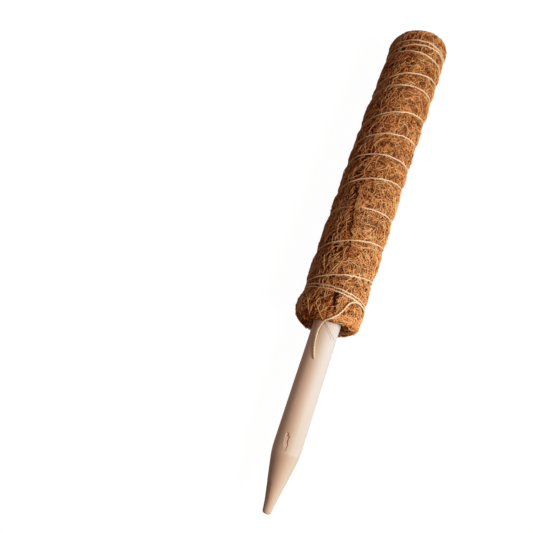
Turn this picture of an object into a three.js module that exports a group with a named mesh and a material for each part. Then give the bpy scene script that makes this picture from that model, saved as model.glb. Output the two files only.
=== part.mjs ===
// Moss pole: a pointed wooden stake whose upper part is wrapped in a rolled coir mat, bound with twine.
// Millimetres, +Z up. The pole lies on its side on a flat pressed into the mat, with its point towards -X.
// A station is a distance along the pole from the stake's point. An angle goes round the pole from its top
// line towards -Y, in degrees.

import * as THREE from 'three';

// Stake
const STAKE_DIAMETER = 20;
const FREE_LENGTH = 134.5;        // bare stake below the mat, point included
const POINT_LENGTH = 40;          // turned cone, with the neck at its end
const SHOULDER_LENGTH = 12;       // rounded stretch where the cone meets the rod
const NECK_LENGTH = 6;            // last stretch of the cone, which narrows less
const NECK_DIAMETER = 7.1;
const POINT_END_DIAMETER = 5.6;   // blunt end
const POINT_ROUNDING = 1.2;
const STAKE_RECESS = 6;           // stake's top end below the mat's upper end
const STAKE_SIDES = 32;
const ROUNDING_STEPS = 3;

// Rolled coir mat
const MAT_LENGTH = 265.5;
const MAT_DIAMETER = 48;
const MAT_SEAT = 0.3;             // between the stake and the first turn of the mat
const LAYER_GAP = 0.4;            // between the two turns of the mat
const LAP_ANGLE = 16;             // where the mat climbs over its own first edge
const LAP_KNEE_ANGLE = 6;
const FIRST_EDGE_THICKNESS = 1;   // thinned inner edge of the mat
const FREE_EDGE_THICKNESS = 2;    // thinned outer edge, which leaves the open seam
const SEAM_ANGLE = 0;
const RIM_DRAW_IN = 1.5;          // rounded rim at both ends of the roll
const RIM_LENGTH = 6;
const UNDERSIDE_FLAT_DEPTH = 0.5;
const MAT_STEP_ANGLE = 10;
const ROW_SPACING = 6;            // least room for one more row of the mat's surface between two turns
const ROWS_BETWEEN_TURNS = 2;
const LOWER_RIM_ROWS = [0, 0.12, 0.3, 0.65];  // shares of the way from the lower end to the first turn
const UPPER_RIM_ROWS = [0.5, 0.8, 1];         // shares of the way from the last turn to the upper end

// Twine
const TWINE_DIAMETER = 1.2;
const TWINE_SEAT = 0.3;           // between the twine and the mat
const PINCH_DEPTH = 1;            // how far a turn draws the mat in
const PINCH_REACH = 6.5;          // how far to each side of a turn the mat is drawn in
const PINCH_FADE_ANGLE = 30;
const LOWER_TIE_INSET = 15.9;     // mat's lower end to the lower knot
const UPPER_TIE_INSET = 10.9;     // mat's upper end to the last turn
const LOWER_KNOT_ANGLE = 97.5;
const UPPER_KNOT_ANGLE = 145;
const KNOT_LENGTH = 3.2;
const KNOT_DIAMETER = 2;
const STEPS_PER_LOOP = 24;
const LOOP_SIDES = 6;
const TAIL_SIDES = 8;
const TAIL_STEP = 3;

// The twine is wound by hand, so its climb is uneven. Each number is its climb over half a turn, from one
// side of the pole to the other, starting at the lower knot's side. The tie turns are in twine diameters.
// The spiral's climbs are in millimetres, and stretch together to fill the mat between the two ties.
const LOWER_TIE_CLIMBS = [4, -1.7, 3.7, -1.8, 4.2];
const SPIRAL_CLIMBS = [
  15.6, 10.9, 18.2, 14, 8.8, 13.1, 16.7, 9.3, 9, 8.3, 14.2, 5.4, 19.7, 10.6, 10.2, 1.1, 17.1, 13.3,
];
const UPPER_TIE_CLIMBS = [-0.4, 2.25, 7.5, -0.6, 2.25];

// Loose end of the twine, from the lower knot over the mat's lower rim and down on the stake.
// Each point: distance above the mat's lower end, angle, distance from the pole's axis.
const TAIL_ROUTE = [
  [16.5, 82, 24.9], [17.2, 70, 25], [17.6, 58, 25.2], [17.8, 47, 25.2], [17.5, 37.5, 25.2], [16, 28.5, 25],
  [13.2, 22.5, 25], [8.6, 18, 25], [3.5, 11.5, 25], [1.1, 6.5, 25], [-0.5, 2.5, 24.5], [-1.4, -1.5, 23.2],
  [-2.3, -6.5, 21.2], [-3.7, -12, 18.2], [-5.5, -16.5, 15.6], [-7.4, -21.5, 13.6], [-10.6, -25, 11.7],
  [-13.4, -25.5, 10.9], [-16.4, -24.5, 10.9], [-19.3, -21.5, 10.9], [-22.2, -18, 10.9], [-24.3, -15, 10.9],
  [-26.7, -10.5, 10.9], [-28.6, -6, 10.9],
];

// Worked-out sizes
const TURN = 360;
const HALF_TURN = 180;
const matRadius = MAT_DIAMETER / 2;
const stakeRadius = STAKE_DIAMETER / 2;
const totalLength = FREE_LENGTH + MAT_LENGTH;
const axisHeight = matRadius - UNDERSIDE_FLAT_DEPTH;
const boreRadius = stakeRadius + MAT_SEAT;
const layerThickness = (matRadius - boreRadius - LAYER_GAP) / 2;
const pinchedRadius = matRadius - PINCH_DEPTH;
const loopSag = matRadius * (1 - Math.cos(Math.PI / STEPS_PER_LOOP));
const twineSeatRadius = pinchedRadius + TWINE_SEAT + loopSag;
const twineRadius = twineSeatRadius + TWINE_DIAMETER / 2;
const knotRadius = twineSeatRadius + KNOT_DIAMETER / 2;
const knotHalfAngle = THREE.MathUtils.radToDeg((KNOT_LENGTH / 2 + TWINE_SEAT) / twineRadius);
const undersideTwineHeight = (TWINE_DIAMETER + TWINE_SEAT) / 2;   // twine's centre, just clear of the ground
const undersideGrooveHeight = TWINE_DIAMETER + 3 * TWINE_SEAT;    // mat over the twine there

function sum(numbers) {
  return numbers.reduce((total, number) => total + number, 0);
}

// A point of the part from its station, its angle round the pole and its distance from the pole's axis.
function polePoint(station, angle, radius) {
  const turn = THREE.MathUtils.degToRad(angle);
  const y = -radius * Math.sin(turn);
  const z = axisHeight + radius * Math.cos(turn);
  return new THREE.Vector3(station - totalLength / 2, y, z);
}

function polePointAbove(floorHeight, station, angle, radius) {
  const point = polePoint(station, angle, radius);
  point.z = Math.max(point.z, floorHeight);
  return point;
}

function geometryFrom(points, triangles) {
  const geometry = new THREE.BufferGeometry();
  geometry.setFromPoints(points);
  geometry.setIndex(triangles.flat());
  geometry.computeVertexNormals();
  return geometry;
}

function named(name, geometry, color, roughness) {
  const material = new THREE.MeshStandardMaterial({ color, roughness, metalness: 0 });
  const mesh = new THREE.Mesh(geometry, material);
  mesh.name = name;
  return mesh;
}

// Stake: a turned round rod with a blunt cone, on the pole's axis.
function makeStake() {
  const flatRadius = POINT_END_DIAMETER / 2 - POINT_ROUNDING;
  const profile = new THREE.Path();
  profile.moveTo(0, 0);
  profile.lineTo(flatRadius, 0);
  profile.absarc(flatRadius, POINT_ROUNDING, POINT_ROUNDING, -Math.PI / 2, 0);
  profile.lineTo(NECK_DIAMETER / 2, NECK_LENGTH);
  const shoulderStart = POINT_LENGTH - SHOULDER_LENGTH / 2;
  const shoulderRadius = THREE.MathUtils.mapLinear(
    shoulderStart, NECK_LENGTH, POINT_LENGTH, NECK_DIAMETER / 2, stakeRadius,
  );
  profile.lineTo(shoulderRadius, shoulderStart);
  profile.quadraticCurveTo(stakeRadius, POINT_LENGTH, stakeRadius, POINT_LENGTH + SHOULDER_LENGTH / 2);
  profile.lineTo(stakeRadius, totalLength - STAKE_RECESS);
  profile.lineTo(0, totalLength - STAKE_RECESS);
  const geometry = new THREE.LatheGeometry(profile.getPoints(ROUNDING_STEPS), STAKE_SIDES);
  geometry.rotateZ(-Math.PI / 2);
  geometry.translate(-totalLength / 2, 0, axisHeight);
  return named('stake', geometry, 0xe2cdb4, 0.6);
}

// Route of the winding: its station at any angle, counted on from turn to turn.
const spiralRoom = MAT_LENGTH - LOWER_TIE_INSET - UPPER_TIE_INSET
  - TWINE_DIAMETER * (sum(LOWER_TIE_CLIMBS) + sum(UPPER_TIE_CLIMBS));
const spiralStretch = spiralRoom / sum(SPIRAL_CLIMBS);
const climbs = [
  ...LOWER_TIE_CLIMBS.map((climb) => climb * TWINE_DIAMETER),
  ...SPIRAL_CLIMBS.map((climb) => climb * spiralStretch),
  ...UPPER_TIE_CLIMBS.map((climb) => climb * TWINE_DIAMETER),
];
const sideStations = [FREE_LENGTH + LOWER_TIE_INSET];
for (const climb of climbs) {
  sideStations.push(sideStations[sideStations.length - 1] + climb);
}
const firstSideAngle = 90;
const lastSideAngle = firstSideAngle + HALF_TURN * climbs.length;
const windingStart = LOWER_KNOT_ANGLE + knotHalfAngle;
const windingEnd = lastSideAngle - firstSideAngle + UPPER_KNOT_ANGLE - knotHalfAngle;

// Slope of the route at a side station: the lesser climb beside it, and level where the climb turns back.
function sideSlope(index) {
  const before = climbs[index - 1] ?? 0;
  const after = climbs[index] ?? 0;
  return before * after > 0 ? Math.sign(after) * Math.min(Math.abs(before), Math.abs(after)) : 0;
}

// Smooth curve through the side stations, level before the first and after the last.
function twineStation(angle) {
  const last = sideStations.length - 1;
  const place = THREE.MathUtils.clamp((angle - firstSideAngle) / HALF_TURN, 0, last);
  const index = Math.min(Math.floor(place), last - 1);
  const t = place - index;
  const slopeA = sideSlope(index);
  const slopeB = sideSlope(index + 1);
  const a = sideStations[index];
  const b = sideStations[index + 1];
  const t2 = t * t;
  const t3 = t2 * t;
  return a * (2 * t3 - 3 * t2 + 1) + slopeA * (t3 - 2 * t2 + t) + b * (3 * t2 - 2 * t3) + slopeB * (t3 - t2);
}

// How strongly the twine draws the mat in at an angle along the winding: all along it, and fading past its ends.
function twinePull(angle) {
  const past = Math.max(LOWER_KNOT_ANGLE - knotHalfAngle - angle, angle - windingEnd - 2 * knotHalfAngle, 0);
  return 1 - THREE.MathUtils.smoothstep(past, 0, PINCH_FADE_ANGLE);
}

const turnCount = Math.ceil((windingEnd - windingStart) / TURN);

// Share of the full pinch, from 0 to 1, at a place on the mat. The angle runs from 0 down to minus one turn.
function pinchShare(station, angle) {
  let share = 0;
  for (let turn = 1; turn <= turnCount + 1; turn += 1) {
    const along = angle + TURN * turn;
    const distance = Math.abs(station - twineStation(along)) / PINCH_REACH;
    const near = distance < 1 ? (1 - distance * distance) ** 2 : 0;
    share = Math.max(share, near * twinePull(along));
  }
  return share;
}

// Outer surface of the mat: drawn in under the twine, rounded at both rims, flat where the pole lies.
function matOuterPoint(station, angle, greatestRadius) {
  const pinch = pinchShare(station, angle);
  const toEnd = Math.min(station - FREE_LENGTH, totalLength - station);
  const rim = Math.max(0, 1 - toEnd / RIM_LENGTH) ** 2;
  const radius = matRadius - PINCH_DEPTH * pinch - RIM_DRAW_IN * rim;
  return polePointAbove(pinch * undersideGrooveHeight, station, angle, Math.min(radius, greatestRadius));
}

// Stations of the mat's surface rows at one angle: on every turn of twine and between the turns.
function matRowStations(angle) {
  const rows = LOWER_RIM_ROWS.map((share) => (
    THREE.MathUtils.lerp(FREE_LENGTH, twineStation(angle + TURN), share)
  ));
  for (let turn = 1; turn <= turnCount; turn += 1) {
    const here = twineStation(angle + TURN * turn);
    const next = twineStation(angle + TURN * (turn + 1));
    const meanClimb = twineStation(TURN * (turn + 0.5)) - twineStation(TURN * (turn - 0.5));
    const between = Math.min(ROWS_BETWEEN_TURNS, Math.floor(meanClimb / ROW_SPACING));
    for (let row = 0; row <= between; row += 1) {
      rows.push(THREE.MathUtils.lerp(here, next, row / (between + 1)));
    }
  }
  const lastTurn = twineStation(angle + TURN * (turnCount + 1));
  rows.push(lastTurn);
  for (const share of UPPER_RIM_ROWS) {
    rows.push(THREE.MathUtils.lerp(lastTurn, totalLength, share));
  }
  return rows;
}

// Section of the rolled mat: inner and outer radius of its sheet against the roll angle, which starts at the
// inner edge and runs outwards for two turns. Each turn ends by climbing over the edge or step below it.
const climb = layerThickness + LAYER_GAP;
const kneeStart = TURN - LAP_ANGLE - LAP_KNEE_ANGLE;
const lapStart = TURN - LAP_ANGLE;
function along(knots, angle) {
  const next = Math.max(1, knots.findIndex(([at]) => at >= angle));
  const [fromAngle, fromRadius] = knots[next - 1];
  const [toAngle, toRadius] = knots[next];
  return THREE.MathUtils.mapLinear(angle, fromAngle, toAngle, fromRadius, toRadius);
}
const secondRadius = boreRadius + climb;
const innerKnots = [
  [-LAP_ANGLE, boreRadius],
  [kneeStart, boreRadius],
  [lapStart, boreRadius + FIRST_EDGE_THICKNESS + LAYER_GAP],
  [TURN, secondRadius],
  [TURN + kneeStart, secondRadius],
  [TURN + lapStart, secondRadius + FIRST_EDGE_THICKNESS + LAYER_GAP],
  [2 * TURN, secondRadius + climb],
];
const firstOuterKnots = [
  [-LAP_ANGLE, boreRadius + FIRST_EDGE_THICKNESS],
  [0, boreRadius + layerThickness],
  [kneeStart, boreRadius + layerThickness],
  [lapStart, secondRadius + FIRST_EDGE_THICKNESS],
  [TURN, matRadius],
];
const lapSlope = (climb - FIRST_EDGE_THICKNESS - LAYER_GAP) / LAP_ANGLE;
const freeEdge = 2 * TURN - (FREE_EDGE_THICKNESS + LAYER_GAP) / lapSlope;
const shownStart = TURN - LAP_ANGLE / 4;  // where the sheet comes up into the open seam

function rollAngles(start, end, corners) {
  const angles = new Set([start, end]);
  for (const corner of corners) {
    if (corner > start && corner < end) {
      angles.add(corner);
    }
  }
  for (let angle = Math.ceil(start / MAT_STEP_ANGLE) * MAT_STEP_ANGLE; angle < end; angle += MAT_STEP_ANGLE) {
    angles.add(angle);
  }
  return [...angles].sort((a, b) => a - b);
}

// Rolled mat: one sheet in two turns, closed at its two ends and at its inner and outer edges.
function makeMat() {
  const points = [];
  const triangles = [];
  const add = (point) => points.push(point) - 1;
  const strip = (lowA, lowB, highA, highB) => {
    triangles.push([lowA, lowB, highB], [lowA, highB, highA]);
  };
  // Joins a straight edge, given by its two ends, to a row of points running the same way.
  const fan = (low, high, row) => {
    const middle = Math.floor(row.length / 2);
    for (let i = 0; i + 1 < row.length; i += 1) {
      triangles.push([i < middle ? low : high, row[i], row[i + 1]]);
    }
    triangles.push([low, row[middle], high]);
  };
  const corners = innerKnots.map(([angle]) => angle);
  const angles = rollAngles(-LAP_ANGLE, freeEdge, [...corners, 0, shownStart]);
  const columns = angles.map((roll) => {
    const angle = SEAM_ANGLE - roll;
    const inner = along(innerKnots, roll);
    const column = {
      innerLow: add(polePoint(FREE_LENGTH, angle, inner)),
      innerHigh: add(polePoint(totalLength, angle, inner)),
    };
    const outer = roll < TURN ? along(firstOuterKnots, roll) : matRadius;
    if (roll < shownStart) {
      column.outer = [FREE_LENGTH, totalLength].map((station) => add(polePoint(station, angle, outer)));
    } else {
      const rows = matRowStations(angle + TURN);
      column.outer = rows.map((station) => add(matOuterPoint(station, angle + TURN, outer)));
    }
    return column;
  });
  const low = (column) => column.outer[0];
  const high = (column) => column.outer[column.outer.length - 1];
  for (let i = 0; i + 1 < columns.length; i += 1) {
    const here = columns[i];
    const next = columns[i + 1];
    strip(here.innerLow, next.innerLow, here.innerHigh, next.innerHigh);
    strip(low(here), low(next), here.innerLow, next.innerLow);
    strip(here.innerHigh, next.innerHigh, high(here), high(next));
    if (here.outer.length === next.outer.length) {
      for (let row = 0; row + 1 < here.outer.length; row += 1) {
        strip(next.outer[row], here.outer[row], next.outer[row + 1], here.outer[row + 1]);
      }
    } else {
      const before = triangles.length;
      fan(low(here), high(here), next.outer);
      triangles.slice(before).forEach((triangle) => triangle.reverse());
    }
  }
  const first = columns[0];
  strip(low(first), first.innerLow, high(first), first.innerHigh);
  const last = columns[columns.length - 1];
  fan(last.innerLow, last.innerHigh, last.outer);
  return named('coir_mat', geometryFrom(points, triangles), 0x8a5a30, 1);
}

// Winding: one unbroken tube from the lower knot to the upper one.
function windingPoint(angle) {
  return polePointAbove(undersideTwineHeight, twineStation(angle), angle, twineRadius);
}

function makeWinding() {
  const straightAngle = THREE.MathUtils.radToDeg(TWINE_DIAMETER / twineRadius);
  const stepAngle = TURN / STEPS_PER_LOOP;
  const angles = [windingStart, windingStart + straightAngle];
  let angle = Math.ceil((windingStart + 2 * straightAngle) / stepAngle) * stepAngle;
  for (; angle < windingEnd - 2 * straightAngle; angle += stepAngle) {
    angles.push(angle);
  }
  angles.push(windingEnd - straightAngle, windingEnd);
  const centres = angles.map(windingPoint);
  const points = [];
  const triangles = [];
  const sides = [...Array(LOOP_SIDES).keys()];
  centres.forEach((centre, i) => {
    const before = centres[Math.max(0, i - 1)];
    const after = centres[Math.min(centres.length - 1, i + 1)];
    const tangent = after.clone().sub(before).normalize();
    const outward = new THREE.Vector3(0, centre.y, centre.z - axisHeight).normalize();
    outward.addScaledVector(tangent, -outward.dot(tangent)).normalize();
    const sideways = tangent.clone().cross(outward);
    for (const side of sides) {
      const turn = (2 * Math.PI * side) / LOOP_SIDES;
      const point = centre.clone();
      point.addScaledVector(outward, Math.cos(turn) * TWINE_DIAMETER / 2);
      point.addScaledVector(sideways, Math.sin(turn) * TWINE_DIAMETER / 2);
      points.push(point);
    }
  });
  const at = (ring, side) => ring * LOOP_SIDES + (side % LOOP_SIDES);
  for (let ring = 0; ring + 1 < centres.length; ring += 1) {
    for (const side of sides) {
      triangles.push([at(ring, side), at(ring, side + 1), at(ring + 1, side + 1)]);
      triangles.push([at(ring, side), at(ring + 1, side + 1), at(ring + 1, side)]);
    }
  }
  const lastRing = centres.length - 1;
  for (let side = 1; side + 1 < LOOP_SIDES; side += 1) {
    triangles.push([at(0, 0), at(0, side + 1), at(0, side)]);
    triangles.push([at(lastRing, 0), at(lastRing, side), at(lastRing, side + 1)]);
  }
  return named('twine_winding', geometryFrom(points, triangles), 0xd2b083, 0.9);
}

// Least gap between the winding's turns, measured on points of its centre line at least half a turn apart.
function leastWindingGap() {
  const sampleAngle = 5;
  const samples = [];
  for (let angle = windingStart; angle <= windingEnd; angle += sampleAngle) {
    samples.push(windingPoint(angle));
  }
  let least = Infinity;
  for (let i = 0; i < samples.length; i += 1) {
    for (let j = i + HALF_TURN / sampleAngle; j < samples.length; j += 1) {
      least = Math.min(least, samples[i].distanceTo(samples[j]));
    }
  }
  return least - TWINE_DIAMETER;
}

// Knot: a barrel of two tight turns, lying along the twine where the winding begins or ends.
function makeKnot(name, angle, station) {
  const half = KNOT_LENGTH / 2;
  const full = KNOT_DIAMETER / 2;
  const end = TWINE_DIAMETER / 2;
  const waist = (full + end) / 2;
  const profile = [[0, -half], [end, -half], [full, -half / 2], [waist, 0], [full, half / 2], [end, half], [0, half]];
  const barrelSides = 12;
  const geometry = new THREE.LatheGeometry(profile.map(([r, s]) => new THREE.Vector2(r, s)), barrelSides);
  geometry.rotateX(THREE.MathUtils.degToRad(angle));
  const place = polePoint(station, angle, knotRadius);
  geometry.translate(place.x, place.y, place.z);
  return named(name, geometry, 0xc9a678, 0.9);
}

// Loose end of the twine.
function makeTail() {
  const start = [LOWER_TIE_INSET, LOWER_KNOT_ANGLE - knotHalfAngle, knotRadius];
  const route = [start, ...TAIL_ROUTE].map(([rise, angle, radius]) => polePoint(FREE_LENGTH + rise, angle, radius));
  const path = new THREE.CatmullRomCurve3(route);
  const section = new THREE.Shape();
  for (let side = 0; side < TAIL_SIDES; side += 1) {
    const turn = (2 * Math.PI * side) / TAIL_SIDES;
    const corner = [Math.cos(turn) * TWINE_DIAMETER / 2, Math.sin(turn) * TWINE_DIAMETER / 2];
    if (side === 0) {
      section.moveTo(...corner);
    } else {
      section.lineTo(...corner);
    }
  }
  section.closePath();
  const steps = Math.round(path.getLength() / TAIL_STEP);
  const geometry = new THREE.ExtrudeGeometry(section, { steps, extrudePath: path, bevelEnabled: false });
  return named('twine_tail', geometry, 0xd8b88c, 0.9);
}

console.log(`least gap between turns of the winding: ${leastWindingGap().toFixed(2)} mm`);

const pole = new THREE.Group();
pole.add(makeStake());
pole.add(makeMat());
pole.add(makeWinding());
pole.add(makeKnot('lower_knot', LOWER_KNOT_ANGLE, twineStation(LOWER_KNOT_ANGLE)));
pole.add(makeKnot('upper_knot', UPPER_KNOT_ANGLE, twineStation(windingEnd)));
pole.add(makeTail());

export default pole;
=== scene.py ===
"""Moss pole, dressed: a turned wooden stake, a rolled mat of coconut fibre and the twine that binds it.

Metres, +Z up. The pole lies along X with its point towards -X. A rise is a distance above the mat's lower
end, a station a distance above the stake's point, and an angle goes round the pole from its top line
towards -Y, in degrees.
"""

import math
from dataclasses import dataclass

import bpy
import numpy as np
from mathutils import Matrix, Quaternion, Vector


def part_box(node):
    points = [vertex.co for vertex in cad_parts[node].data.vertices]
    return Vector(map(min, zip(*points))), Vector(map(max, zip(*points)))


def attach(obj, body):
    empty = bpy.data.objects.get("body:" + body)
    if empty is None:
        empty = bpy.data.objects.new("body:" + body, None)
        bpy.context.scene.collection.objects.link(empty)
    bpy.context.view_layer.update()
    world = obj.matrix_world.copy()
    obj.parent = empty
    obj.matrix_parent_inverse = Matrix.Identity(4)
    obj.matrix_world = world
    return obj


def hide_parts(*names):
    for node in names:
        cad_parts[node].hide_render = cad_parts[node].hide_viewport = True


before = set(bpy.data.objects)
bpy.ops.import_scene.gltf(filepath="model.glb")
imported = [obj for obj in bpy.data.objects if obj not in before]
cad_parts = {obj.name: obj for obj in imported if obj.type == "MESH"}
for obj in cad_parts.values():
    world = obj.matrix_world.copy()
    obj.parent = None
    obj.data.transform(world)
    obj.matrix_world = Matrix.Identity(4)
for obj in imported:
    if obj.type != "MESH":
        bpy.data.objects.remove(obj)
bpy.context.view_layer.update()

MM = 0.001
TURN = 360

# Sizes taken from the frame
stake_low, stake_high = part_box("stake")
mat_low, mat_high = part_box("coir_mat")
STAKE_RADIUS = (stake_high[1] - stake_low[1]) / 2
MAT_RADIUS = (mat_high[1] - mat_low[1]) / 2
AXIS_HEIGHT = (stake_high[2] + stake_low[2]) / 2
POINT_X = stake_low[0]
MAT_X = mat_low[0]
MAT_LENGTH = mat_high[0] - mat_low[0]
STAKE_LENGTH = stake_high[0] - stake_low[0]
FREE_LENGTH = MAT_X - POINT_X

# Twine route, as the frame's winding has it
TWINE_DIAMETER = 1.2 * MM
LOWER_TIE_INSET = 15.9 * MM
UPPER_TIE_INSET = 10.9 * MM
LOWER_TIE_CLIMBS = [4, -1.7, 3.7, -1.8, 4.2]
SPIRAL_CLIMBS = [
    15.6, 10.9, 18.2, 14, 8.8, 13.1, 16.7, 9.3, 9, 8.3, 14.2, 5.4, 19.7, 10.6, 10.2, 1.1, 17.1, 13.3,
]
UPPER_TIE_CLIMBS = [-0.4, 2.25, 7.5, -0.6, 2.25]
LOWER_KNOT_ANGLE = 97.5
UPPER_KNOT_ANGLE = 145
KNOT_RADIUS = 24.505 * MM
KNOT_HALF_ANGLE = 4.5
PINCH_REACH = 8 * MM
PINCH_SHARPNESS = 1.7
PINCH_FADE_ANGLE = 30

# Loose end of the twine: rise, angle and distance from the pole's axis, in millimetres and degrees
TAIL_ROUTE = [
    (15.9, 92.984, 23.4), (16.5, 82, 23.4), (17.2, 70, 23.6), (17.6, 58, 23.9), (17.8, 47, 24.3),
    (17.5, 37.5, 24.7), (16, 28.5, 24.9), (13.2, 22.5, 25), (8.6, 18, 25), (3.5, 11.5, 25), (1.1, 6.5, 25),
    (-0.5, 2.5, 24.5), (-1.4, -1.5, 23.2), (-2.3, -6.5, 21.2), (-3.7, -12, 18.2), (-5.5, -16.5, 15.6),
    (-7.4, -21.5, 13.6), (-10.6, -25, 11.7), (-13.4, -25.5, 10.9), (-16.4, -24.5, 10.9),
    (-19.3, -21.5, 10.9), (-22.2, -18, 10.9), (-24.3, -15, 10.9), (-26.7, -10.5, 10.9), (-28.6, -6, 10.9),
]


# Camera
CAMERA_PLACE = Vector((-187.26, 7.85, 448.74)) * MM
CAMERA_TARGET = Vector((-36.34, 56.58, 23.5)) * MM
CAMERA_ROLL = 1.367
CAMERA_LENS = 40.525
SENSOR_WIDTH = 36


def set_up_camera():
    camera = bpy.data.objects.new("camera", bpy.data.cameras.new("camera"))
    bpy.context.scene.collection.objects.link(camera)
    camera.location = CAMERA_PLACE
    level = (CAMERA_TARGET - CAMERA_PLACE).to_track_quat("-Z", "Y")
    camera.rotation_euler = (level @ Quaternion((0, 0, 1), math.radians(CAMERA_ROLL))).to_euler()
    camera.data.lens = CAMERA_LENS
    camera.data.sensor_width = SENSOR_WIDTH
    camera.data.clip_start = 0.01
    bpy.context.scene.camera = camera


set_up_camera()


# Helpers for shapes
def smooth_step(value, low, high):
    share = np.clip((value - low) / (high - low), 0, 1)
    return share * share * (3 - 2 * share)


def bell(distance, reach):
    """1 at no distance, fading to nothing past the reach."""
    return np.exp(-((distance / reach) ** 2))


def facing(angle):
    """How far a place on the pole faces -Y, from -1 to 1."""
    return np.sin(np.radians(angle))


def pole_point(x, angle, radius):
    y = -radius * facing(angle)
    z = AXIS_HEIGHT + radius * np.cos(np.radians(angle))
    return np.stack(np.broadcast_arrays(x, y, z), -1)


def along_knots(knots, slopes, index, t):
    """Places on a smooth curve, a share t of the way from one of its knots to the next."""
    start = knots[index] * (2 * t**3 - 3 * t**2 + 1) + slopes[index] * (t**3 - 2 * t**2 + t)
    return start + knots[index + 1] * (3 * t**2 - 2 * t**3) + slopes[index + 1] * (t**3 - t**2)


def smooth_route(knots, steps):
    """A smooth curve through a list of points, with some steps between each two."""
    knots = np.asarray(knots, float)
    place = np.linspace(0, len(knots) - 1, steps * (len(knots) - 1) + 1)
    index = np.minimum(place.astype(int), len(knots) - 2)
    return along_knots(knots, np.gradient(knots, axis=0), index, (place - index)[:, None])


def distance_to_run(along, across, low, high):
    """Distance of places on a surface from a straight run between two of them."""
    run = high - low
    share = np.clip(((along - low[0]) * run[0] + (across - low[1]) * run[1]) / (run @ run), 0, 1)
    return np.hypot(along - low[0] - share * run[0], across - low[1] - share * run[1])


def wrapped(angle):
    """The same angle, between -180 and 180."""
    return np.mod(np.asarray(angle, float) + 180, TURN) - 180


def along_route(place, route, column=1):
    """A value at a place along a route, between those that are listed for it in millimetres."""
    listed = np.array(route, float)
    return np.interp(place / MM, listed[:, 0], listed[:, column])


def painted_shade_share(angle):
    """How far, from 0 to 1, coir and twine are darkened with painted shade: on the +Y side, and a little on
    the other.
    """
    left = -wrapped(angle)
    share = smooth_step(left, -18, 42) + 0.1 * smooth_step(-left, 40, 75)
    return share * (1 - smooth_step(np.abs(left), 110, 170))


class Unevenness:
    """Smooth seeded unevenness, from -1 to 1, at any points in space."""

    CELLS = 64

    def __init__(self, seed, spacing):
        self.spacing = spacing
        self.lattice = np.random.default_rng(seed).uniform(-1, 1, (self.CELLS,) * 3)

    def at(self, points):
        place = np.asarray(points) / self.spacing
        cell = np.floor(place).astype(int)
        t = place - cell
        t = t * t * (3 - 2 * t)
        total = 0
        for corner in np.ndindex(2, 2, 2):
            near = np.where(np.array(corner) == 1, t, 1 - t).prod(-1)
            i, j, k = np.moveaxis((cell + corner) % self.CELLS, -1, 0)
            total = total + near * self.lattice[i, j, k]
        return total


# Helpers for finishes
class Shade:
    """A value inside a finish. Arithmetic on it adds Math nodes to that finish."""

    def __init__(self, finish, socket):
        self.finish = finish
        self.socket = socket

    def worked(self, operation, first, second):
        return self.finish.node("Math", {"operation": operation}, {0: first, 1: second})

    def __add__(self, other):
        return self.worked("ADD", self, other)

    def __radd__(self, other):
        return self.worked("ADD", other, self)

    def __sub__(self, other):
        return self.worked("SUBTRACT", self, other)

    def __rsub__(self, other):
        return self.worked("SUBTRACT", other, self)

    def __mul__(self, other):
        return self.worked("MULTIPLY", self, other)

    def __rmul__(self, other):
        return self.worked("MULTIPLY", other, self)

    def between(self, low, high):
        """0 below low, 1 above high, and smooth between them."""
        settings = {"interpolation_type": "SMOOTHSTEP"}
        return self.finish.node("MapRange", settings, {"Value": self, "From Min": low, "From Max": high})


class Finish:
    """A material of one shader, whose nodes are all added by the same method."""

    def __init__(self, name, roughness, specular=0.5):
        self.material = bpy.data.materials.new(name)
        self.material.use_nodes = True
        self.tree = self.material.node_tree
        self.shader = self.tree.nodes["Principled BSDF"]
        self.shader.inputs["Roughness"].default_value = roughness
        self.shader.inputs["Specular IOR Level"].default_value = specular

    def node(self, kind, settings=None, sockets=None, output=0):
        made = self.tree.nodes.new("ShaderNode" + kind)
        for name, value in (settings or {}).items():
            if name == "stops":
                self.set_stops(made.color_ramp, value)
            else:
                setattr(made, name, value)
        for name, value in (sockets or {}).items():
            self.feed(made.inputs[name], value)
        return Shade(self, made.outputs[output])

    def set_stops(self, ramp, stops):
        while len(ramp.elements) < len(stops):
            ramp.elements.new(1)
        for element, (place, colour) in zip(ramp.elements, stops):
            element.position = place
            element.color = (*colour, 1)

    def feed(self, socket, value):
        if isinstance(value, Shade):
            self.tree.links.new(value.socket, socket)
        elif isinstance(value, tuple) and len(value) == 3 and socket.type == "RGBA":
            socket.default_value = (*value, 1)
        else:
            socket.default_value = value

    def surface(self, name, value):
        self.feed(self.shader.inputs[name], value)

    def place(self, stretch=(1, 1, 1)):
        """Position on the piece, in metres, with each axis stretched."""
        position = self.node("TexCoord", output="Object")
        return self.node("VectorMath", {"operation": "MULTIPLY"}, {0: position, 1: stretch})

    def noise(self, scale, detail=2, stretch=(1, 1, 1), roughness=0.5):
        sockets = {"Vector": self.place(stretch), "Scale": scale, "Detail": detail, "Roughness": roughness}
        return self.node("TexNoise", {}, sockets)

    def painted(self, name):
        """A number stored on the mesh."""
        return self.node("Attribute", {"attribute_name": name}, output="Fac")

    def mix(self, share, first, second, blend="MIX"):
        settings = {"data_type": "RGBA", "blend_type": blend}
        return self.node("Mix", settings, {0: share, 6: first, 7: second}, output=2)

    def ramp(self, share, stops):
        return self.node("ValToRGB", {"stops": stops}, {"Fac": share})

    def bump(self, height, distance):
        return self.node("Bump", {}, {"Height": height, "Distance": distance})

    def with_painted_shade(self, colour, first_shade, deep_shade):
        """A colour with the painted shade over it: the first shade comes sooner than the deep one."""
        stain = self.painted("stain")
        colour = self.mix(stain * FIRST_SHADE_PACE, colour, first_shade, "MULTIPLY")
        return self.mix(stain, colour, deep_shade, "MULTIPLY")
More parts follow.
